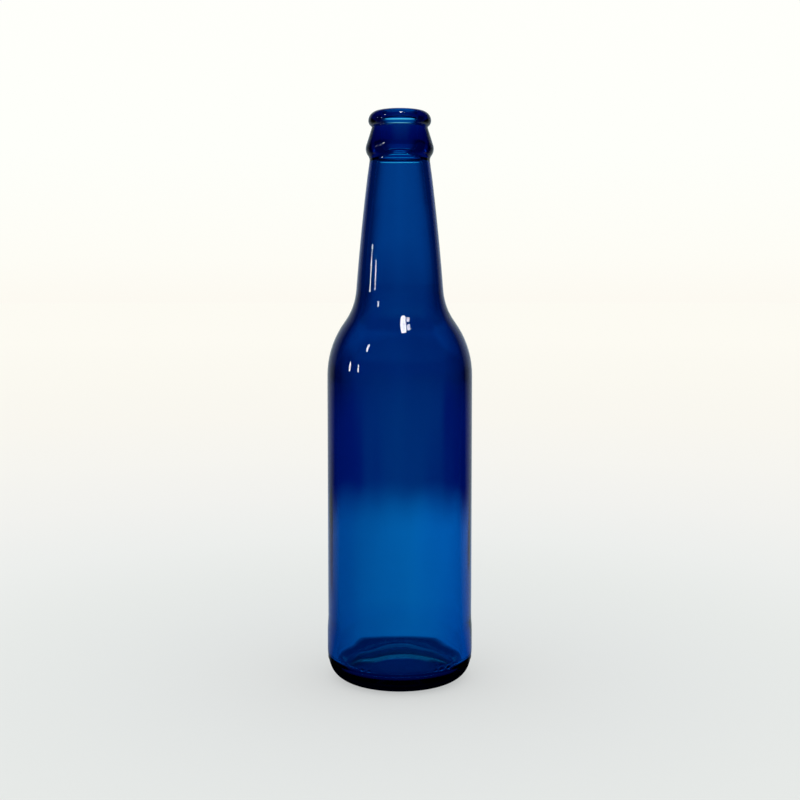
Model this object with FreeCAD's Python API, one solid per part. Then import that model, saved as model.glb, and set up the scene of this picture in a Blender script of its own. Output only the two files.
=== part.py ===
import FreeCAD, Part
import math
import os

# An empty longneck beer bottle with a crown finish, in one piece of moulded cobalt glass.
#
# The glass is one closed solid, open at the mouth.  Its half section is drawn in the XZ plane:
# out along the foot, up the outside to the lip, then down the bore and the inside to the
# floor.  It is revolved about Z.  Sizes are millimetres, Z is up, and the origin is the middle
# of the ring that the bottle stands on.
#
# Each curve is an arc that runs on smoothly from its neighbours.  The arcs have named radii,
# and the points where they touch are worked out, so that a changed size moves them all.

# Whole bottle
OVERALL_HEIGHT = 238.6
BODY_DIAMETER = 61.0

# Foot: a narrow ring bears on the table, and the underside is pushed up inside it
BEARING_WIDTH = 1.6
BEARING_ROLL_RADIUS = 2.0
PUSH_UP_HEIGHT = 4.0

# Heel: a tight arc off the foot, then a flatter flank up to a band that stands proud of the
# body, where bottles touch each other on the filling line
HEEL_RADIUS = 8.2
FLANK_RADIUS = 20.0
FLANK_HEIGHT = 12.3
CONTACT_BAND_HEIGHT = 7.5
CONTACT_BAND_PROUD = 0.3
CONTACT_BAND_EASE = 7.0

# Shoulder: the body's side ends this far below the mouth, and two arcs carry it to the neck
SHOULDER_DEPTH = 110.1
SHOULDER_RADIUS = 38.3
SHOULDER_REVERSE_RADIUS = 25.8

# Neck: slightly barrelled, through two diameters, each at its depth below the mouth
NECK_BASE_DIAMETER = 36.4
NECK_BASE_DEPTH = 74.1
NECK_TOP_DIAMETER = 26.1
NECK_TOP_DEPTH = 23.7
NECK_BULGE_RADIUS = 1040.0

# Finish: a reinforcing ring over the neck, a sloping flank, and the lip that holds the crown
WAIST_RADIUS = 3.3
RING_PROUD = 1.15
RING_BEAD_RADIUS = 4.65
RING_DEPTH = 15.45
LIP_DIAMETER = 26.2
LIP_BEAD_RADIUS = 3.9
LIP_UNDER_RADIUS = 2.6
LIP_UNDERCUT = 1.4
LIP_CORNER_RADIUS = 0.9

# Mouth and bore: the plunger forms a straight bore, which then widens into the blown neck by
# at least a small step
BORE_DIAMETER = 15.6
BORE_DEPTH = 13.0
BORE_BLEND_RADIUS = 12.0
LEAST_BORE_STEP = 0.3
MOUTH_EDGE_RADIUS = 1.0

# Glass thickness, and the inside of the base
BODY_WALL = 3.6
NECK_WALL = 3.0
BASE_THICKNESS = 5.0
FLOOR_DOME_RADIUS = 90.0
INNER_HEEL_RADIUS = 4.5

# The most of the lip's wall that each of its two roundings may take, so that a flat sealing
# land is always left between them
LIP_BEAD_SHARE = 0.74
MOUTH_EDGE_SHARE = 0.2


def at(radius, height):
    """A point of the half section."""
    return FreeCAD.Vector(radius, 0, height)


def towards(start, goal, distance):
    """The point at a distance from start in the direction of goal."""
    direction = goal - start
    direction.normalize()
    return start + direction * distance


def meeting_points(centre_a, reach_a, centre_b, reach_b):
    """The two points that lie at these reaches from two centres, the lower one first."""
    span = centre_b - centre_a
    along = (reach_a**2 - reach_b**2 + span.Length**2) / (2 * span.Length)
    aside = math.sqrt(reach_a**2 - along**2)
    foot = towards(centre_a, centre_b, along)
    across = at(-span.z, span.x)
    across.normalize()
    pair = (foot + across * aside, foot - across * aside)
    return sorted(pair, key=lambda point: point.z)


class Outline:
    """A chain of edges, each drawn on from the last point."""

    def __init__(self, start):
        self.end = start
        self.edges = []

    def line_to(self, point):
        self.edges.append(Part.LineSegment(self.end, point).toShape())
        self.end = point

    def arc_to(self, centre, point):
        """The shorter way round centre to a point on the same circle."""
        radius = (self.end - centre).Length
        middle = towards(centre, self.end + point - centre, radius)
        self.edges.append(Part.Arc(self.end, middle, point).toShape())
        self.end = point


# Radii of the half section, and the circles that both the outside and the inside follow
body_radius = BODY_DIAMETER / 2
band_radius = body_radius + CONTACT_BAND_PROUD
lip_radius = LIP_DIAMETER / 2
bore_radius = BORE_DIAMETER / 2
shoulder_centre = at(body_radius - SHOULDER_RADIUS, OVERALL_HEIGHT - SHOULDER_DEPTH)


def centre_of_neck_arc():
    """The centre of the long arc that the neck's outside follows."""
    base = at(NECK_BASE_DIAMETER / 2, OVERALL_HEIGHT - NECK_BASE_DEPTH)
    top = at(NECK_TOP_DIAMETER / 2, OVERALL_HEIGHT - NECK_TOP_DEPTH)
    half = (top - base) * 0.5
    inwards = at(-half.z, half.x)
    return towards(base + half, base + half + inwards,
                   math.sqrt(NECK_BULGE_RADIUS**2 - half.Length**2))


neck_centre = centre_of_neck_arc()


def draw_foot(outline, heel_centre):
    """From the middle of the underside, over the roll and the bearing ring to the heel."""
    inner_edge = heel_centre.x - BEARING_WIDTH
    dome_radius = (inner_edge**2 + PUSH_UP_HEIGHT**2) / (2 * PUSH_UP_HEIGHT) - BEARING_ROLL_RADIUS
    dome_centre = at(0, PUSH_UP_HEIGHT - dome_radius)
    roll_centre = at(inner_edge, BEARING_ROLL_RADIUS)
    outline.arc_to(dome_centre, towards(dome_centre, roll_centre, dome_radius))
    outline.arc_to(roll_centre, at(inner_edge, 0))
    outline.line_to(at(heel_centre.x, 0))


def draw_heel(outline, heel_centre, flank_centre):
    """Up the heel and its flank, over the contact band and back in to the body's side."""
    outline.arc_to(heel_centre, towards(flank_centre, heel_centre, FLANK_RADIUS))
    outline.arc_to(flank_centre, at(band_radius, FLANK_HEIGHT))
    band_top = FLANK_HEIGHT + CONTACT_BAND_HEIGHT
    outline.line_to(at(band_radius, band_top))
    ease_radius = (CONTACT_BAND_EASE**2 + CONTACT_BAND_PROUD**2) / (4 * CONTACT_BAND_PROUD)
    middle = at(band_radius - CONTACT_BAND_PROUD / 2, band_top + CONTACT_BAND_EASE / 2)
    body_start = at(body_radius, band_top + CONTACT_BAND_EASE)
    outline.arc_to(at(band_radius - ease_radius, band_top), middle)
    outline.arc_to(at(body_radius + ease_radius, body_start.z), body_start)


def draw_shoulder_and_neck(outline, ring_centre):
    """From the body's side over the shoulder and up the neck to the reinforcing ring."""
    reverse_centre = meeting_points(
        shoulder_centre, SHOULDER_RADIUS + SHOULDER_REVERSE_RADIUS,
        neck_centre, NECK_BULGE_RADIUS + SHOULDER_REVERSE_RADIUS)[1]
    waist_centre = meeting_points(
        ring_centre, RING_BEAD_RADIUS + WAIST_RADIUS,
        neck_centre, NECK_BULGE_RADIUS + WAIST_RADIUS)[0]
    outline.line_to(at(body_radius, shoulder_centre.z))
    outline.arc_to(shoulder_centre, towards(shoulder_centre, reverse_centre, SHOULDER_RADIUS))
    outline.arc_to(reverse_centre, towards(neck_centre, reverse_centre, NECK_BULGE_RADIUS))
    outline.arc_to(neck_centre, towards(neck_centre, waist_centre, NECK_BULGE_RADIUS))
    outline.arc_to(waist_centre, towards(ring_centre, waist_centre, RING_BEAD_RADIUS))


def draw_finish(outline, ring_centre):
    """Round the ring, up the flank, into the corner under the lip, then round and over the lip."""
    lip_wall = lip_radius - bore_radius
    bead = min(LIP_BEAD_RADIUS, LIP_BEAD_SHARE * lip_wall)
    edge = min(MOUTH_EDGE_RADIUS, MOUTH_EDGE_SHARE * lip_wall)
    lip_centre = at(lip_radius - bead, OVERALL_HEIGHT - bead)
    under_centre = at(lip_radius - LIP_UNDER_RADIUS, lip_centre.z)
    corner_x = lip_radius - LIP_UNDERCUT + LIP_CORNER_RADIUS
    corner_reach = LIP_UNDER_RADIUS + LIP_CORNER_RADIUS
    corner_drop = math.sqrt(corner_reach**2 - (corner_x - under_centre.x)**2)
    corner_centre = at(corner_x, lip_centre.z - corner_drop)

    # The flank is the line that touches the ring's bead and the corner on opposite sides
    span = corner_centre - ring_centre
    turn = math.acos((RING_BEAD_RADIUS + LIP_CORNER_RADIUS) / span.Length)
    lean = math.atan2(span.z, span.x) - turn
    out = at(math.cos(lean), math.sin(lean))
    outline.arc_to(ring_centre, ring_centre + out * RING_BEAD_RADIUS)
    outline.line_to(corner_centre - out * LIP_CORNER_RADIUS)
    outline.arc_to(corner_centre, towards(under_centre, corner_centre, LIP_UNDER_RADIUS))
    outline.arc_to(under_centre, at(lip_radius, lip_centre.z))
    outline.arc_to(lip_centre, at(lip_centre.x, OVERALL_HEIGHT))
    outline.line_to(at(bore_radius + edge, OVERALL_HEIGHT))
    outline.arc_to(at(bore_radius + edge, OVERALL_HEIGHT - edge),
                   at(bore_radius, OVERALL_HEIGHT - edge))


def draw_inside(outline):
    """Down the bore, the neck, the shoulder and the body to the middle of the floor."""
    inner_radius = body_radius - BODY_WALL
    inner_shoulder = SHOULDER_RADIUS - BODY_WALL
    inner_reverse = SHOULDER_REVERSE_RADIUS + (BODY_WALL + NECK_WALL) / 2
    inner_neck = NECK_BULGE_RADIUS - NECK_WALL

    # The bore goes down to its depth, or on to where the neck's wall lies a step outside it
    blend_x = bore_radius + BORE_BLEND_RADIUS
    blend_reach = inner_neck + BORE_BLEND_RADIUS - LEAST_BORE_STEP
    step_height = neck_centre.z + math.sqrt(blend_reach**2 - (blend_x - neck_centre.x)**2)
    blend_start = at(blend_x, min(OVERALL_HEIGHT - BORE_DEPTH, step_height))
    blend_end = meeting_points(
        blend_start, 2 * BORE_BLEND_RADIUS, neck_centre, inner_neck - BORE_BLEND_RADIUS)[0]
    outline.line_to(at(bore_radius, blend_start.z))
    outline.arc_to(blend_start, (blend_start + blend_end) * 0.5)
    outline.arc_to(blend_end, towards(neck_centre, blend_end, inner_neck))

    reverse_centre = meeting_points(
        shoulder_centre, inner_shoulder + inner_reverse,
        neck_centre, inner_neck + inner_reverse)[1]
    outline.arc_to(neck_centre, towards(neck_centre, reverse_centre, inner_neck))
    outline.arc_to(reverse_centre, towards(shoulder_centre, reverse_centre, inner_shoulder))
    outline.arc_to(shoulder_centre, at(inner_radius, shoulder_centre.z))

    # The floor is a shallow dome, and the inner heel's arc touches it and the wall
    floor = at(0, PUSH_UP_HEIGHT + BASE_THICKNESS)
    dome_centre = floor - at(0, FLOOR_DOME_RADIUS)
    heel_x = inner_radius - INNER_HEEL_RADIUS
    heel_rise = math.sqrt((FLOOR_DOME_RADIUS + INNER_HEEL_RADIUS)**2 - heel_x**2)
    heel_centre = dome_centre + at(heel_x, heel_rise)
    outline.line_to(at(inner_radius, heel_centre.z))
    outline.arc_to(heel_centre, towards(dome_centre, heel_centre, FLOOR_DOME_RADIUS))
    outline.arc_to(dome_centre, floor)


def half_section():
    """The glass to one side of the axis, as a face."""
    flank_centre = at(band_radius - FLANK_RADIUS, FLANK_HEIGHT)
    heel_run = math.sqrt((FLANK_RADIUS - HEEL_RADIUS)**2 - (FLANK_HEIGHT - HEEL_RADIUS)**2)
    heel_centre = at(flank_centre.x + heel_run, HEEL_RADIUS)
    ring_radius = NECK_TOP_DIAMETER / 2 + RING_PROUD
    ring_centre = at(ring_radius - RING_BEAD_RADIUS, OVERALL_HEIGHT - RING_DEPTH)

    outline = Outline(at(0, PUSH_UP_HEIGHT))
    draw_foot(outline, heel_centre)
    draw_heel(outline, heel_centre, flank_centre)
    draw_shoulder_and_neck(outline, ring_centre)
    draw_finish(outline, ring_centre)
    draw_inside(outline)
    outline.line_to(at(0, PUSH_UP_HEIGHT))
    return Part.Face(Part.Wire(outline.edges))


def glass():
    """The bottle: the half section taken once round the axis."""
    return half_section().revolve(at(0, 0), at(0, 1), 360)


os.makedirs("parts", exist_ok=True)
bottle = glass()
bottle.exportStep("parts/bottle.step")
print("bottle: volume", round(bottle.Volume / 1000, 1), "cm3, height", round(bottle.BoundBox.ZMax, 2))
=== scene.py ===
import bmesh
import bpy
from math import acos, atan2, ceil, cos, degrees, pi, radians, sin, sqrt
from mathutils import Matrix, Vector, noise


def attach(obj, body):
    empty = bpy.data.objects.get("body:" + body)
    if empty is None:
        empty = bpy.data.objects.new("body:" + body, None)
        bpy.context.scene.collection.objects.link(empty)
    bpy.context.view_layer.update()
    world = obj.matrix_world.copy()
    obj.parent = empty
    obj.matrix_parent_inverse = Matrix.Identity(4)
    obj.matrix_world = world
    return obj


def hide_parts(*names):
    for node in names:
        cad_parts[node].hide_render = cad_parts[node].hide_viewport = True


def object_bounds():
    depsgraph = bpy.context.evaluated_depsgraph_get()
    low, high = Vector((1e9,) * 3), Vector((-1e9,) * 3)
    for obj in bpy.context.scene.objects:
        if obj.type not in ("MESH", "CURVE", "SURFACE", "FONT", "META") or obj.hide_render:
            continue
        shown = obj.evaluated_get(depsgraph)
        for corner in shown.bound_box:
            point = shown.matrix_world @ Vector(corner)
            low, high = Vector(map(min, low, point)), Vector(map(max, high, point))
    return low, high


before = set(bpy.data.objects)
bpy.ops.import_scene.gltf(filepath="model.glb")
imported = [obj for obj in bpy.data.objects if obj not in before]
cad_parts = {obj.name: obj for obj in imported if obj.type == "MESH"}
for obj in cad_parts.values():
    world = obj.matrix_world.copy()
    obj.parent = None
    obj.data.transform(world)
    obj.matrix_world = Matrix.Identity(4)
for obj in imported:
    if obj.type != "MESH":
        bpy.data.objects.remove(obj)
cad_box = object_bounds()

# --------------------------------------------------------------------------- bottle glass
# The bottle is one piece of cobalt soda-lime glass.  Its finish is pressed in a neck ring,
# and the rest is blown against a mould of two halves and a base plate.  The half section
# runs from under the base out, up, over the lip and down the inside, and is then spun once.

MM = 0.001
cad_low, cad_high = cad_box
HEIGHT = (cad_high.z - cad_low.z) / MM
BODY_RADIUS = 30.5
BAND_RADIUS = 30.8
LIP_RADIUS = 13.1
BORE_RADIUS = 7.8


def point(radius, height):
    """A point of the half section."""
    return Vector((radius, 0, height))


def towards(start, goal, distance):
    """The point at a distance from start in the direction of goal."""
    return start + (goal - start).normalized() * distance


def meeting_points(centre_a, reach_a, centre_b, reach_b):
    """The two points at these reaches from two centres, the lower one first."""
    span = centre_b - centre_a
    along = (reach_a**2 - reach_b**2 + span.length_squared) / (2 * span.length)
    foot = towards(centre_a, centre_b, along)
    across = point(-span.z, span.x).normalized() * sqrt(reach_a**2 - along**2)
    return sorted((foot + across, foot - across), key=lambda place: place.z)


LONGEST_EDGE = 3.0
LARGEST_TURN = radians(6)


class Section:
    """A chain of edges in a bmesh, each drawn on from the last point."""

    def __init__(self, start):
        self.mesh = bmesh.new()
        self.tip = self.mesh.verts.new(start)

    def line_to(self, place):
        """A straight run, in equal steps."""
        for share in range(ceil((place - self.tip.co).length / LONGEST_EDGE), 0, -1):
            step = (place - self.tip.co) / share
            grown = bmesh.ops.extrude_vert_indiv(self.mesh, verts=[self.tip])
            self.tip = grown["verts"][0]
            self.tip.co += step

    def arc_to(self, centre, place):
        """The shorter way round centre to a point on the same circle."""
        start = self.tip.co - centre
        goal = place - centre
        turn = atan2(start.z * goal.x - start.x * goal.z, start.dot(goal))
        steps = max(ceil(abs(turn) / LARGEST_TURN), ceil(abs(turn) * start.length / LONGEST_EDGE))
        spun = bmesh.ops.spin(self.mesh, geom=[self.tip], cent=centre, axis=(0, 1, 0),
                              angle=turn, steps=steps)
        self.tip = next(e for e in spun["geom_last"] if isinstance(e, bmesh.types.BMVert))
        self.tip.co = place


# The base: a push-up inside the ring that the bottle stands on, then the heel and its flank.
BEARING_WIDTH = 1.6
BEARING_ROLL = 2.0
PUSH_UP = 4.0
HEEL_RADIUS = 8.2
FLANK_RADIUS = 20.0
FLANK_HEIGHT = 12.3
BAND_HEIGHT = 7.5
BAND_EASE = 7.0

flank_centre = point(BAND_RADIUS - FLANK_RADIUS, FLANK_HEIGHT)
heel_run = sqrt((FLANK_RADIUS - HEEL_RADIUS)**2 - (FLANK_HEIGHT - HEEL_RADIUS)**2)
heel_centre = point(flank_centre.x + heel_run, HEEL_RADIUS)
bearing_inner = heel_centre.x - BEARING_WIDTH
push_up_radius = (bearing_inner**2 + PUSH_UP**2) / (2 * PUSH_UP) - BEARING_ROLL
push_up_centre = point(0, PUSH_UP - push_up_radius)
roll_centre = point(bearing_inner, BEARING_ROLL)

section = Section(point(0, PUSH_UP))
section.arc_to(push_up_centre, towards(push_up_centre, roll_centre, push_up_radius))
section.arc_to(roll_centre, point(bearing_inner, 0))
section.line_to(point(heel_centre.x, 0))
section.arc_to(heel_centre, towards(flank_centre, heel_centre, FLANK_RADIUS))


def on_flank(height):
    """The point of the flank's arc at a height."""
    return flank_centre + point(sqrt(FLANK_RADIUS**2 - (FLANK_HEIGHT - height)**2),
                                height - FLANK_HEIGHT)


# The base plate of the mould leaves a fine ridge round the heel, and the mould's number
# stands as a row of dashes just above it.
SEAM_HEIGHT = 8.6
SEAM_WIDTH = 0.5
SEAM_PROUD = 0.15
MARKS_LOW = 9.7
MARKS_HIGH = 10.5

section.arc_to(flank_centre, on_flank(SEAM_HEIGHT - SEAM_WIDTH / 2))
section.line_to(on_flank(SEAM_HEIGHT) + point(SEAM_PROUD, 0))
section.line_to(on_flank(SEAM_HEIGHT + SEAM_WIDTH / 2))
section.arc_to(flank_centre, on_flank(MARKS_LOW))
section.arc_to(flank_centre, on_flank(MARKS_HIGH))
section.arc_to(flank_centre, point(BAND_RADIUS, FLANK_HEIGHT))

# The contact band is what bottles touch each other with, and eases back into the body.
band_top = FLANK_HEIGHT + BAND_HEIGHT
proud = BAND_RADIUS - BODY_RADIUS
ease_radius = (BAND_EASE**2 + proud**2) / (4 * proud)
section.line_to(point(BAND_RADIUS, band_top))
section.arc_to(point(BAND_RADIUS - ease_radius, band_top),
               point(BAND_RADIUS - proud / 2, band_top + BAND_EASE / 2))
section.arc_to(point(BODY_RADIUS + ease_radius, band_top + BAND_EASE),
               point(BODY_RADIUS, band_top + BAND_EASE))

# Shoulder and neck, up to the waist under the reinforcing ring.  Depths are below the top.
SHOULDER_DEPTH = 110.1
SHOULDER_RADIUS = 38.3
REVERSE_RADIUS = 25.8
NECK_BASE = (18.2, 74.1)
NECK_TOP = (13.05, 23.7)
NECK_RADIUS = 1040.0
WAIST_RADIUS = 3.3
RING_RADIUS = 14.2
RING_BEAD = 4.65
RING_DEPTH = 15.45

shoulder_centre = point(BODY_RADIUS - SHOULDER_RADIUS, HEIGHT - SHOULDER_DEPTH)
neck_base = point(NECK_BASE[0], HEIGHT - NECK_BASE[1])
neck_top = point(NECK_TOP[0], HEIGHT - NECK_TOP[1])
half_neck = (neck_top - neck_base) / 2
neck_centre = neck_base + half_neck + point(-half_neck.z, half_neck.x).normalized() * sqrt(
    NECK_RADIUS**2 - half_neck.length_squared)
ring_centre = point(RING_RADIUS - RING_BEAD, HEIGHT - RING_DEPTH)
reverse_centre = meeting_points(shoulder_centre, SHOULDER_RADIUS + REVERSE_RADIUS,
                                neck_centre, NECK_RADIUS + REVERSE_RADIUS)[1]
waist_centre = meeting_points(ring_centre, RING_BEAD + WAIST_RADIUS,
                              neck_centre, NECK_RADIUS + WAIST_RADIUS)[0]
section.line_to(point(BODY_RADIUS, shoulder_centre.z))
section.arc_to(shoulder_centre, towards(shoulder_centre, reverse_centre, SHOULDER_RADIUS))
section.arc_to(reverse_centre, towards(neck_centre, reverse_centre, NECK_RADIUS))
section.arc_to(neck_centre, towards(neck_centre, waist_centre, NECK_RADIUS))
section.arc_to(waist_centre, towards(ring_centre, waist_centre, RING_BEAD))

# The crown finish: reinforcing ring, sloping flank, and the lip that the crown grips.
LIP_BEAD = 3.9
LIP_UNDER = 2.6
LIP_UNDERCUT = 1.4
LIP_CORNER = 0.9
MOUTH_EDGE = 1.0

lip_centre = point(LIP_RADIUS - LIP_BEAD, HEIGHT - LIP_BEAD)
corner_x = LIP_RADIUS - LIP_UNDERCUT + LIP_CORNER
under_centre = point(LIP_RADIUS - LIP_UNDER, lip_centre.z)
corner_drop = sqrt((LIP_UNDER + LIP_CORNER)**2 - (corner_x - under_centre.x)**2)
corner_centre = point(corner_x, lip_centre.z - corner_drop)
span = corner_centre - ring_centre
lean = atan2(span.z, span.x) - acos((RING_BEAD + LIP_CORNER) / span.length)
flank_out = point(cos(lean), sin(lean))
section.arc_to(ring_centre, ring_centre + flank_out * RING_BEAD)
section.line_to(corner_centre - flank_out * LIP_CORNER)
section.arc_to(corner_centre, towards(under_centre, corner_centre, LIP_UNDER))
section.arc_to(under_centre, point(LIP_RADIUS, lip_centre.z))
section.arc_to(lip_centre, point(lip_centre.x, HEIGHT))
section.line_to(point(BORE_RADIUS + MOUTH_EDGE, HEIGHT))
section.arc_to(point(BORE_RADIUS + MOUTH_EDGE, HEIGHT - MOUTH_EDGE),
               point(BORE_RADIUS, HEIGHT - MOUTH_EDGE))

# The inside: a straight bore, its blend into the blown neck, and the domed floor.
BODY_WALL = 3.6
NECK_WALL = 3.0
BASE_THICKNESS = 5.0
FLOOR_DOME = 90.0
INNER_HEEL = 4.5
BORE_DEPTH = 13.0
BORE_BLEND = 12.0

inner_radius = BODY_RADIUS - BODY_WALL
inner_shoulder = SHOULDER_RADIUS - BODY_WALL
inner_reverse = REVERSE_RADIUS + (BODY_WALL + NECK_WALL) / 2
inner_neck = NECK_RADIUS - NECK_WALL
blend_start = point(BORE_RADIUS + BORE_BLEND, HEIGHT - BORE_DEPTH)
blend_end = meeting_points(blend_start, 2 * BORE_BLEND, neck_centre, inner_neck - BORE_BLEND)[0]
section.line_to(point(BORE_RADIUS, blend_start.z))
section.arc_to(blend_start, (blend_start + blend_end) / 2)
section.arc_to(blend_end, towards(neck_centre, blend_end, inner_neck))
reverse_centre = meeting_points(shoulder_centre, inner_shoulder + inner_reverse,
                                neck_centre, inner_neck + inner_reverse)[1]
section.arc_to(neck_centre, towards(neck_centre, reverse_centre, inner_neck))
section.arc_to(reverse_centre, towards(shoulder_centre, reverse_centre, inner_shoulder))
section.arc_to(shoulder_centre, point(inner_radius, shoulder_centre.z))
dome_centre = point(0, PUSH_UP + BASE_THICKNESS - FLOOR_DOME)
inner_heel_x = inner_radius - INNER_HEEL
inner_heel_rise = sqrt((FLOOR_DOME + INNER_HEEL)**2 - inner_heel_x**2)
inner_heel_centre = dome_centre + point(inner_heel_x, inner_heel_rise)
section.line_to(point(inner_radius, inner_heel_centre.z))
section.arc_to(inner_heel_centre, towards(dome_centre, inner_heel_centre, FLOOR_DOME))
section.arc_to(dome_centre, dome_centre + point(0, FLOOR_DOME))

TURNS = 240
MERGE_WITHIN = 0.0005
glass = section.mesh
bmesh.ops.spin(glass, geom=glass.verts[:] + glass.edges[:], cent=(0, 0, 0), axis=(0, 0, 1),
               angle=2 * pi, steps=TURNS, use_merge=True)
bmesh.ops.remove_doubles(glass, verts=glass.verts[:], dist=MERGE_WITHIN)
bmesh.ops.recalc_face_normals(glass, faces=glass.faces[:])
glass.normal_update()

# Blowing leaves the wall a little uneven, which shows on the inside as long soft waves.
WAVE_WIDTH = 9.0
WAVE_LENGTH = 45.0
WAVE_DEPTH = 0.22
WAVY_FROM = 14.0
WAVY_TO = 200.0
FACING_IN = -0.5
for vert in glass.verts:
    outwards = Vector((vert.co.x, vert.co.y, 0)).normalized()
    if vert.normal.dot(outwards) < FACING_IN and WAVY_FROM < vert.co.z < WAVY_TO:
        place = Vector((vert.co.x / WAVE_WIDTH, vert.co.y / WAVE_WIDTH, vert.co.z / WAVE_LENGTH))
        vert.co += outwards * noise.noise(place) * WAVE_DEPTH


def outer_faces(low, high):
    """The outside faces of the glass between two heights, each with its middle."""
    middles = ((face, face.calc_center_median()) for face in glass.faces)
    return [(face, middle) for face, middle in middles
            if low < middle.z < high and face.normal.xy.dot(middle.xy) > 0]


# The two halves of the mould leave a fine seam up either side, from the band to the ring.
MOULD_SEAM_WIDTH = 0.5
MOULD_SEAM_PROUD = 0.08
MOULD_SEAM_FROM = 28.0
MOULD_SEAM_TO = 216.0
MOULD_SEAM_FADE = 3.0
NEAR_SEAM = 1.0
ON_PLANE = 0.001
for side in (-1, 1):
    strip = [face for face, middle in outer_faces(MOULD_SEAM_FROM, MOULD_SEAM_TO)
             if abs(middle.y) < NEAR_SEAM and middle.x * side > 0]
    for edge_y in (-MOULD_SEAM_WIDTH / 2, MOULD_SEAM_WIDTH / 2):
        parts = dict.fromkeys(part for face in strip
                              for part in (face, *face.edges, *face.verts))
        cut = bmesh.ops.bisect_plane(glass, geom=list(parts), dist=ON_PLANE,
                                     plane_co=(0, edge_y, 0), plane_no=(0, 1, 0))
        strip = [part for part in cut["geom"] if isinstance(part, bmesh.types.BMFace)]
    crest = dict.fromkeys(vert for face in strip for vert in face.verts
                          if abs(vert.co.y) < ON_PLANE
                          and MOULD_SEAM_FADE < vert.co.z - MOULD_SEAM_FROM
                          and MOULD_SEAM_FADE < MOULD_SEAM_TO - vert.co.z)
    bmesh.ops.translate(glass, verts=list(crest), vec=(side * MOULD_SEAM_PROUD, 0, 0))

# The mould's number: two dashes left of the front and three right of it, at these degrees.
MARK_AZIMUTHS = (-29.5, -24.3, 28.3, 33.7, 40.1)
MARK_TURN = 1.6
MARK_PROUD = 0.25
MARK_EDGE = 0.12
for azimuth in MARK_AZIMUTHS:
    dash = [face for face, middle in outer_faces(MARKS_LOW, MARKS_HIGH)
            if abs(degrees(atan2(middle.x, -middle.y)) - azimuth) < MARK_TURN]
    bmesh.ops.inset_region(glass, faces=dash, thickness=MARK_EDGE, depth=MARK_PROUD)

# The ring that the bottle stands on is stippled, so that hot glass is not scratched there.
STIPPLE_EDGE = 0.15
STIPPLE_DEPTH = 0.15
standing = [(face.calc_center_median(), face) for face in glass.faces
            if all(abs(vert.co.z) < ON_PLANE for vert in face.verts)]
standing.sort(key=lambda pair: atan2(pair[0].y, pair[0].x))
bmesh.ops.inset_individual(glass, faces=[face for middle, face in standing[::2]],
                           thickness=STIPPLE_EDGE, depth=-STIPPLE_DEPTH)
bmesh.ops.scale(glass, vec=(MM, MM, MM), verts=glass.verts[:])
for face in glass.faces:
    face.smooth = True


def add_piece(name, mesh):
    """A named object at the origin that takes a finished bmesh as its mesh."""
    data = bpy.data.meshes.new(name)
    mesh.to_mesh(data)
    mesh.free()
    piece = bpy.data.objects.new(name, data)
    bpy.context.collection.objects.link(piece)
    return piece


bottle = add_piece("bottle_glass", glass)


def srgb(code):
    """A hex colour as linear RGBA."""
    shares = [int(code[i:i + 2], 16) / 255 for i in (0, 2, 4)]
    return [c / 12.92 if c <= 0.04045 else ((c + 0.055) / 1.055)**2.4 for c in shares] + [1.0]


def add_node(tree, kind, inputs=None, **settings):
    """A node with its settings, and its inputs set to values or linked from sockets."""
    node = tree.nodes.new(kind)
    for name, value in settings.items():
        setattr(node, name, value)
    for name, value in (inputs or {}).items():
        if isinstance(value, bpy.types.NodeSocket):
            tree.links.new(value, node.inputs[name])
        else:
            node.inputs[name].default_value = value
    return node


# Cobalt soda-lime glass, blown and fire-polished: clear, with a deep blue that comes from
# the thickness of the glass, and a faintly wavy skin that wobbles the reflections.
# The glass takes out all of the red, much of the green and little of the blue.
GLASS_IOR = 1.52
GLASS_PASSES = (0.0, 0.72, 0.90, 1.0)
ABSORPTION_PER_METRE = 1000
SKIN_WAVES_PER_METRE = 60.0
SKIN_WAVE_DETAIL = 1.0
SKIN_WAVE_STRENGTH = 0.05
SKIN_WAVE_HEIGHT = 0.001
material = bpy.data.materials.new("cobalt_soda_lime_glass")
material.use_nodes = True
tree = material.node_tree
tree.nodes.clear()
place = add_node(tree, "ShaderNodeTexCoord").outputs["Object"]
waves = add_node(tree, "ShaderNodeTexNoise", {
    "Vector": place, "Scale": SKIN_WAVES_PER_METRE, "Detail": SKIN_WAVE_DETAIL})
skin = add_node(tree, "ShaderNodeBump", {
    "Height": waves.outputs["Fac"], "Strength": SKIN_WAVE_STRENGTH, "Distance": SKIN_WAVE_HEIGHT})
shader = add_node(tree, "ShaderNodeBsdfPrincipled", {
    "Base Color": (1, 1, 1, 1), "Roughness": 0.0, "IOR": GLASS_IOR,
    "Transmission Weight": 1.0, "Normal": skin.outputs["Normal"]})
depth = add_node(tree, "ShaderNodeVolumeAbsorption",
                 {"Color": GLASS_PASSES, "Density": ABSORPTION_PER_METRE})
add_node(tree, "ShaderNodeOutputMaterial",
         {"Surface": shader.outputs["BSDF"], "Volume": depth.outputs["Volume"]})
bottle.data.materials.append(material)

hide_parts("bottle")
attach(bottle, "root")

# --------------------------------------------------------------------------- floor
# A plain pale sheet of backdrop paper lies flat under the bottle.  It reaches so far that
# its edge meets the pale room at eye level.
FLOOR_RADIUS = 60.0
FLOOR_SIDES = 64
floor_mesh = bmesh.new()
bmesh.ops.create_circle(floor_mesh, cap_ends=True, segments=FLOOR_SIDES, radius=FLOOR_RADIUS)
floor = add_piece("floor", floor_mesh)


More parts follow.
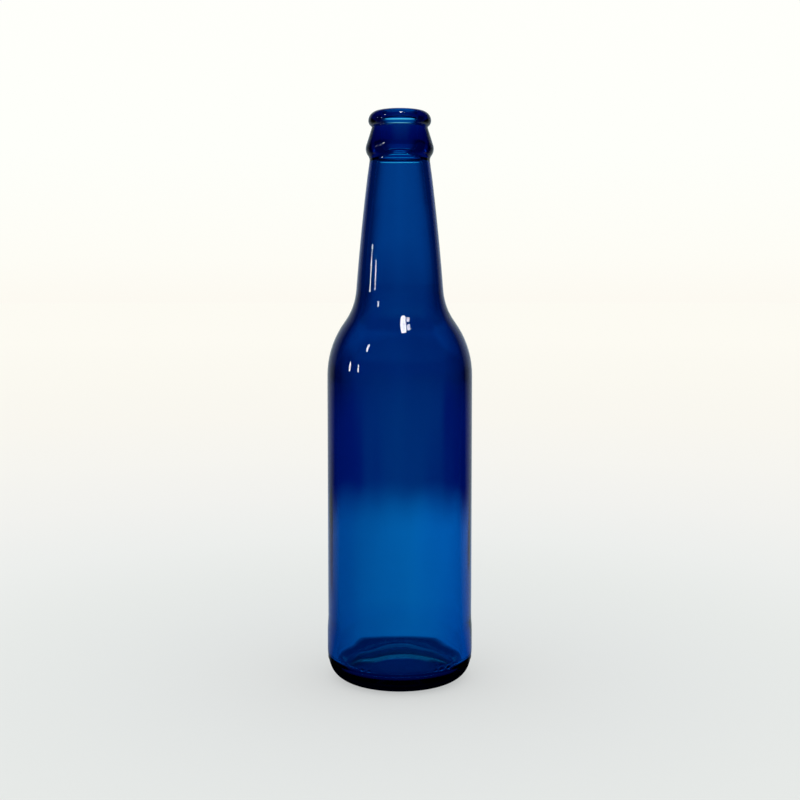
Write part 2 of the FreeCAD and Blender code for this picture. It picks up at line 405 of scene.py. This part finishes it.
def add_ramp(tree, value, colours):
    """A colour by a value between 0 and 1, from hex colours and the values where they stand."""
    ramp = add_node(tree, "ShaderNodeValToRGB", {"Fac": value})
    stops = ramp.color_ramp.elements
    for stop, (position, code) in zip(stops, (colours[0], colours[-1])):
        stop.position, stop.color = position, srgb(code)
    for position, code in colours[1:-1]:
        stops.new(position).color = srgb(code)
    return ramp.outputs["Color"]


# Matt backdrop paper: near white, greyed a little round the bottle by painted shade.  Part of
# its light is its own, which keeps the bottle's shadow on it faint.  Distances are in metres.
PAPER_REACH = 4.0
PAPER_COLOURS_AND_SHADE = [(0.0, "e3e5e4"), (0.10, "e5e8e7"), (0.19, "e8ebe9"), (0.30, "edefed"),
                 (0.46, "f2f2ef"), (0.70, "f6f5f0"), (1.10, "f9f7f0"), (1.90, "fbf9f1"),
                 (PAPER_REACH, "fdfbf3")]
PAPER_GLOW = 0.6
paper = bpy.data.materials.new("matt_backdrop_paper")
paper.use_nodes = True
tree = paper.node_tree
tree.nodes.clear()
place = add_node(tree, "ShaderNodeTexCoord").outputs["Object"]
far = add_node(tree, "ShaderNodeVectorMath", {0: place}, operation="LENGTH").outputs["Value"]
share = add_node(tree, "ShaderNodeMath", {0: far, 1: PAPER_REACH}, operation="DIVIDE")
# The ramp's grey near the bottle is painted shade; far out it is the paper's own near white.
colour = add_ramp(tree, share.outputs[0],
                  [(reach / PAPER_REACH, code) for reach, code in PAPER_COLOURS_AND_SHADE])
matt = add_node(tree, "ShaderNodeBsdfDiffuse", {"Color": colour})
glow = add_node(tree, "ShaderNodeEmission", {"Color": colour, "Strength": 1.0})
sheet = add_node(tree, "ShaderNodeMixShader",
                 {0: PAPER_GLOW, 1: matt.outputs[0], 2: glow.outputs[0]})

# Through the glass the paper is bright round the bottle, with painted light that makes it
# brighter to the right, and a dark room lies further back, darkest to the sides.  Under the
# base a dark tone is painted shade, for the paper there gets only what light the glass lets
# through.  Reaches are in metres.  Sides are the sideways part of a heading of length one.
LIT_REACH = (0.31, 0.56)
LIT_ACROSS = (-0.05, 0.05)
LIT_LEVELS = (0.80, 1.14)
ROOM_TONE = (0.20, 0.215, 0.36, 1.0)
ROOM_SIDE_TONE = (0.04, 0.07, 0.29, 1.0)
ROOM_MIDDLE = 0.02
ROOM_SIDES = (0.05, 0.20)
EYE_LEVEL_REACH = (0.9, 2.4)
EYE_LEVEL_TONE = (0.12, 0.14, 0.31, 1.0)
EYE_LEVEL_SIDE_TONE = (0.01, 0.02, 0.08, 1.0)
UPPER_SIDES = (0.10, 0.50)
UNDER_BASE_PAINTED_SHADE = (0.03, 0.07, 0.16, 1.0)
UNDER_SHADE_REACH = (0.031, 0.043)
UNDER_SHADE_MIDDLE = (0, 0.004, 0)


def room_tone(tree, sideways, limits, middle_tone, side_tone):
    """The dark room's colour, by how far to the side of straight back it is seen."""
    off_middle = add_node(tree, "ShaderNodeMath",
                          {0: sideways, 1: ROOM_MIDDLE}, operation="SUBTRACT")
    aside = add_node(tree, "ShaderNodeMath", {0: off_middle.outputs[0]}, operation="ABSOLUTE")
    share = add_node(tree, "ShaderNodeMapRange", {
        "Value": aside.outputs[0], "From Min": limits[0], "From Max": limits[1]},
        interpolation_type="SMOOTHSTEP")
    return add_node(tree, "ShaderNodeMix", {
        0: share.outputs[0], 6: middle_tone, 7: side_tone}, data_type="RGBA").outputs[2]


# A Mix node's input 0 is the share, 2 and 3 are numbers, and 6 and 7 are colours.
heading = add_node(tree, "ShaderNodeSeparateXYZ", {
    "Vector": add_node(tree, "ShaderNodeVectorMath", {0: place}, operation="NORMALIZE").outputs[0]})
from_shade = add_node(tree, "ShaderNodeVectorMath", {0: place, 1: UNDER_SHADE_MIDDLE},
                      operation="DISTANCE").outputs["Value"]
unlit, to_eye_level, clear = (
    add_node(tree, "ShaderNodeMapRange", {"Value": distance, "From Min": near, "From Max": end},
             interpolation_type="SMOOTHSTEP").outputs[0]
    for distance, (near, end) in ((far, LIT_REACH), (far, EYE_LEVEL_REACH),
                                  (from_shade, UNDER_SHADE_REACH)))
# Painted light: the paper seen through the glass is scaled brighter from left to right.
across = add_node(tree, "ShaderNodeMapRange", {
    "Value": add_node(tree, "ShaderNodeSeparateXYZ", {"Vector": place}).outputs["X"],
    "From Min": LIT_ACROSS[0], "From Max": LIT_ACROSS[1],
    "To Min": LIT_LEVELS[0], "To Max": LIT_LEVELS[1]})
lit = add_node(tree, "ShaderNodeVectorMath", {0: colour, "Scale": across.outputs[0]},
               operation="SCALE")
room = add_node(tree, "ShaderNodeMix", {
    0: to_eye_level,
    6: room_tone(tree, heading.outputs["X"], ROOM_SIDES, ROOM_TONE, ROOM_SIDE_TONE),
    7: room_tone(tree, heading.outputs["X"], UPPER_SIDES, EYE_LEVEL_TONE, EYE_LEVEL_SIDE_TONE)},
    data_type="RGBA")
seen = add_node(tree, "ShaderNodeMix", {0: unlit, 6: lit.outputs[0], 7: room.outputs[2]},
                data_type="RGBA")
# Painted shade: the paper under the base turns dark.
seen = add_node(tree, "ShaderNodeMix", {0: clear, 6: UNDER_BASE_PAINTED_SHADE, 7: seen.outputs[2]},
                data_type="RGBA")
through = add_node(tree, "ShaderNodeEmission", {"Color": seen.outputs[2], "Strength": 1.0})

# Mirrored in the glass it is dim behind the bottle and almost black in front of it.  Turns
# are the backward part of a heading of length one, and levels are brightnesses.
NEAR_MIRROR_TURN = (0.25, 1.0)
NEAR_MIRROR_LEVELS = (0.003, 0.55)
FAR_MIRROR_TURN = (0.55, 1.0)
FAR_MIRROR_LEVELS = (0.001, 0.50)
MIRROR_TONE = (0.85, 1.02, 1.18)
near_level, far_level = (
    add_node(tree, "ShaderNodeMapRange", {
        "Value": heading.outputs["Y"], "From Min": turn[0], "From Max": turn[1],
        "To Min": levels[0], "To Max": levels[1]}).outputs[0]
    for turn, levels in ((NEAR_MIRROR_TURN, NEAR_MIRROR_LEVELS),
                         (FAR_MIRROR_TURN, FAR_MIRROR_LEVELS)))
strength = add_node(tree, "ShaderNodeMix", {0: unlit, 2: near_level, 3: far_level},
                    data_type="FLOAT")
# The mirrored paper keeps the painted shade under the base.
shaded = add_node(tree, "ShaderNodeMix", {0: clear, 6: UNDER_BASE_PAINTED_SHADE, 7: colour}, data_type="RGBA")
tinted = add_node(tree, "ShaderNodeVectorMath", {0: shaded.outputs[2], 1: MIRROR_TONE},
                  operation="MULTIPLY")
mirrored = add_node(tree, "ShaderNodeEmission",
                    {"Color": tinted.outputs[0], "Strength": strength.outputs[0]})
path = add_node(tree, "ShaderNodeLightPath")
reflected = add_node(tree, "ShaderNodeMixShader", {
    0: path.outputs["Is Glossy Ray"], 1: sheet.outputs[0], 2: mirrored.outputs[0]})
chosen = add_node(tree, "ShaderNodeMixShader", {
    0: path.outputs["Is Transmission Ray"], 1: reflected.outputs[0], 2: through.outputs[0]})
add_node(tree, "ShaderNodeOutputMaterial", {"Surface": chosen.outputs[0]})
floor.data.materials.append(paper)

# --------------------------------------------------------------------------- light
# An even white room lights the paper.  The glass sees a darker one instead: dark near eye
# level, with a bright window higher up behind it, and almost black on the viewer's side.
# Rises and falls are the upward part of a heading, and the window's sides the backward part.
SKY_COLOURS = [(0.0, "fdfaf2"), (0.035, "fefdf6"), (0.12, "fefffa"), (0.30, "fffffb"),
               (0.5, "ffffff")]
WINDOW_RISE = (0.30, 0.33)
WINDOW_FALL = (0.38, 0.43)
WINDOW_SIDES = (0.89, 0.92)
WINDOW_TONE = (12.0, 2.6, 1.6, 1.0)
EYE_LEVEL_RISE = (0.0, 0.06)
UPPER_TONE = (0.22, 0.26, 0.46, 1.0)
UPPER_SIDE_TONE = (0.02, 0.06, 0.16, 1.0)
world = bpy.data.worlds.new("studio")
bpy.context.scene.world = world
world.use_nodes = True
tree = world.node_tree
tree.nodes.clear()
path = add_node(tree, "ShaderNodeLightPath")
way = add_node(tree, "ShaderNodeSeparateXYZ", {
    "Vector": add_node(tree, "ShaderNodeTexCoord").outputs["Generated"]})
sky = add_ramp(tree, way.outputs["Z"], SKY_COLOURS)
above_eye_level, above_sill, below_head, behind = (
    add_node(tree, "ShaderNodeMapRange", {"Value": value, "From Min": start, "From Max": end},
             interpolation_type="SMOOTHSTEP").outputs[0]
    for value, (start, end) in ((way.outputs["Z"], EYE_LEVEL_RISE),
                                (way.outputs["Z"], WINDOW_RISE),
                                (way.outputs["Z"], WINDOW_FALL[::-1]),
                                (way.outputs["Y"], WINDOW_SIDES)))
upper = add_node(tree, "ShaderNodeMix", {
    0: above_eye_level,
    6: room_tone(tree, way.outputs["X"], UPPER_SIDES, EYE_LEVEL_TONE, EYE_LEVEL_SIDE_TONE),
    7: room_tone(tree, way.outputs["X"], UPPER_SIDES, UPPER_TONE, UPPER_SIDE_TONE)},
    data_type="RGBA")
in_band = add_node(tree, "ShaderNodeMath", {0: above_sill, 1: below_head}, operation="MULTIPLY")
in_window = add_node(tree, "ShaderNodeMath", {0: in_band.outputs[0], 1: behind},
                     operation="MULTIPLY")
through = add_node(tree, "ShaderNodeMix", {
    0: in_window.outputs[0], 6: upper.outputs[2], 7: WINDOW_TONE}, data_type="RGBA")
level = add_node(tree, "ShaderNodeMapRange", {
    "Value": way.outputs["Y"], "From Min": FAR_MIRROR_TURN[0], "From Max": FAR_MIRROR_TURN[1],
    "To Min": FAR_MIRROR_LEVELS[0], "To Max": FAR_MIRROR_LEVELS[1]}).outputs[0]
mirrored = add_node(tree, "ShaderNodeMix", {
    0: path.outputs["Is Glossy Ray"], 6: sky,
    7: add_node(tree, "ShaderNodeVectorMath", {0: MIRROR_TONE, "Scale": level},
                operation="SCALE").outputs[0]},
    data_type="RGBA")
tone = add_node(tree, "ShaderNodeMix", {
    0: path.outputs["Is Transmission Ray"], 6: mirrored.outputs[2], 7: through.outputs[2]},
    data_type="RGBA")
back = add_node(tree, "ShaderNodeBackground", {"Color": tone.outputs[2], "Strength": 1.0})
add_node(tree, "ShaderNodeOutputWorld", {"Surface": back.outputs[0]})

# Lamps that only the gloss of the glass shows: windows to the left and lamps on the ceiling.
LAMP_DISTANCE = 2.0
LAMP_AIM = Vector((0, 0, 0.15))


def add_lamp(name, azimuth, elevation, width, height, radiance):
    """A rectangular lamp that faces the bottle.  Its angles are in degrees; azimuth 0 is in
    front and rises to the right, and width and height are as seen from the bottle."""
    turn, lift = radians(azimuth), radians(elevation)
    away = Vector((sin(turn) * cos(lift), -cos(turn) * cos(lift), sin(lift)))
    lamp = bpy.data.lights.new(name, "AREA")
    lamp.shape = "RECTANGLE"
    lamp.size, lamp.size_y = radians(width) * LAMP_DISTANCE, radians(height) * LAMP_DISTANCE
    lamp.energy = radiance * pi * lamp.size * lamp.size_y
    holder = bpy.data.objects.new(name, lamp)
    holder.location = LAMP_AIM + away * LAMP_DISTANCE
    holder.rotation_mode = "QUATERNION"
    holder.rotation_quaternion = away.to_track_quat("Z", "Y")
    holder.visible_camera = False
    holder.visible_transmission = False
    holder.visible_diffuse = False
    bpy.context.collection.objects.link(holder)


add_lamp("left_window_back", azimuth=-86, elevation=7, width=3, height=8.8, radiance=16)
add_lamp("left_window_front", azimuth=-69, elevation=7, width=3, height=7.8, radiance=16)
add_lamp("left_lamp", azimuth=-60, elevation=30, width=4, height=8, radiance=16)
add_lamp("ceiling_lamp", azimuth=11, elevation=62, width=8, height=12, radiance=20)
add_lamp("ceiling_lamp_right", azimuth=27, elevation=61, width=5, height=5, radiance=14)

# --------------------------------------------------------------------------- camera
# The camera stands half a metre in front of the bottle, level with the lower shoulder, and
# looks slightly down.  The small shift moves the picture so that the bottle is framed.
SENSOR_WIDTH = 36
FOCAL_LENGTH = 53.36
SHIFT_UP = -0.03
CAMERA_PLACE = (0.0001, -0.5, 0.1603)
PITCH = radians(3.674)
camera_data = bpy.data.cameras.new("camera")
camera_data.sensor_width = SENSOR_WIDTH
camera_data.lens = FOCAL_LENGTH
camera_data.shift_y = SHIFT_UP
camera = bpy.data.objects.new("camera", camera_data)
backwards = Vector((0, -cos(PITCH), sin(PITCH)))
camera.location = CAMERA_PLACE
camera.rotation_mode = "QUATERNION"
camera.rotation_quaternion = backwards.to_track_quat("Z", "Y")
bpy.context.collection.objects.link(camera)
bpy.context.scene.camera = camera
bpy.context.scene.view_settings.view_transform = "Standard"
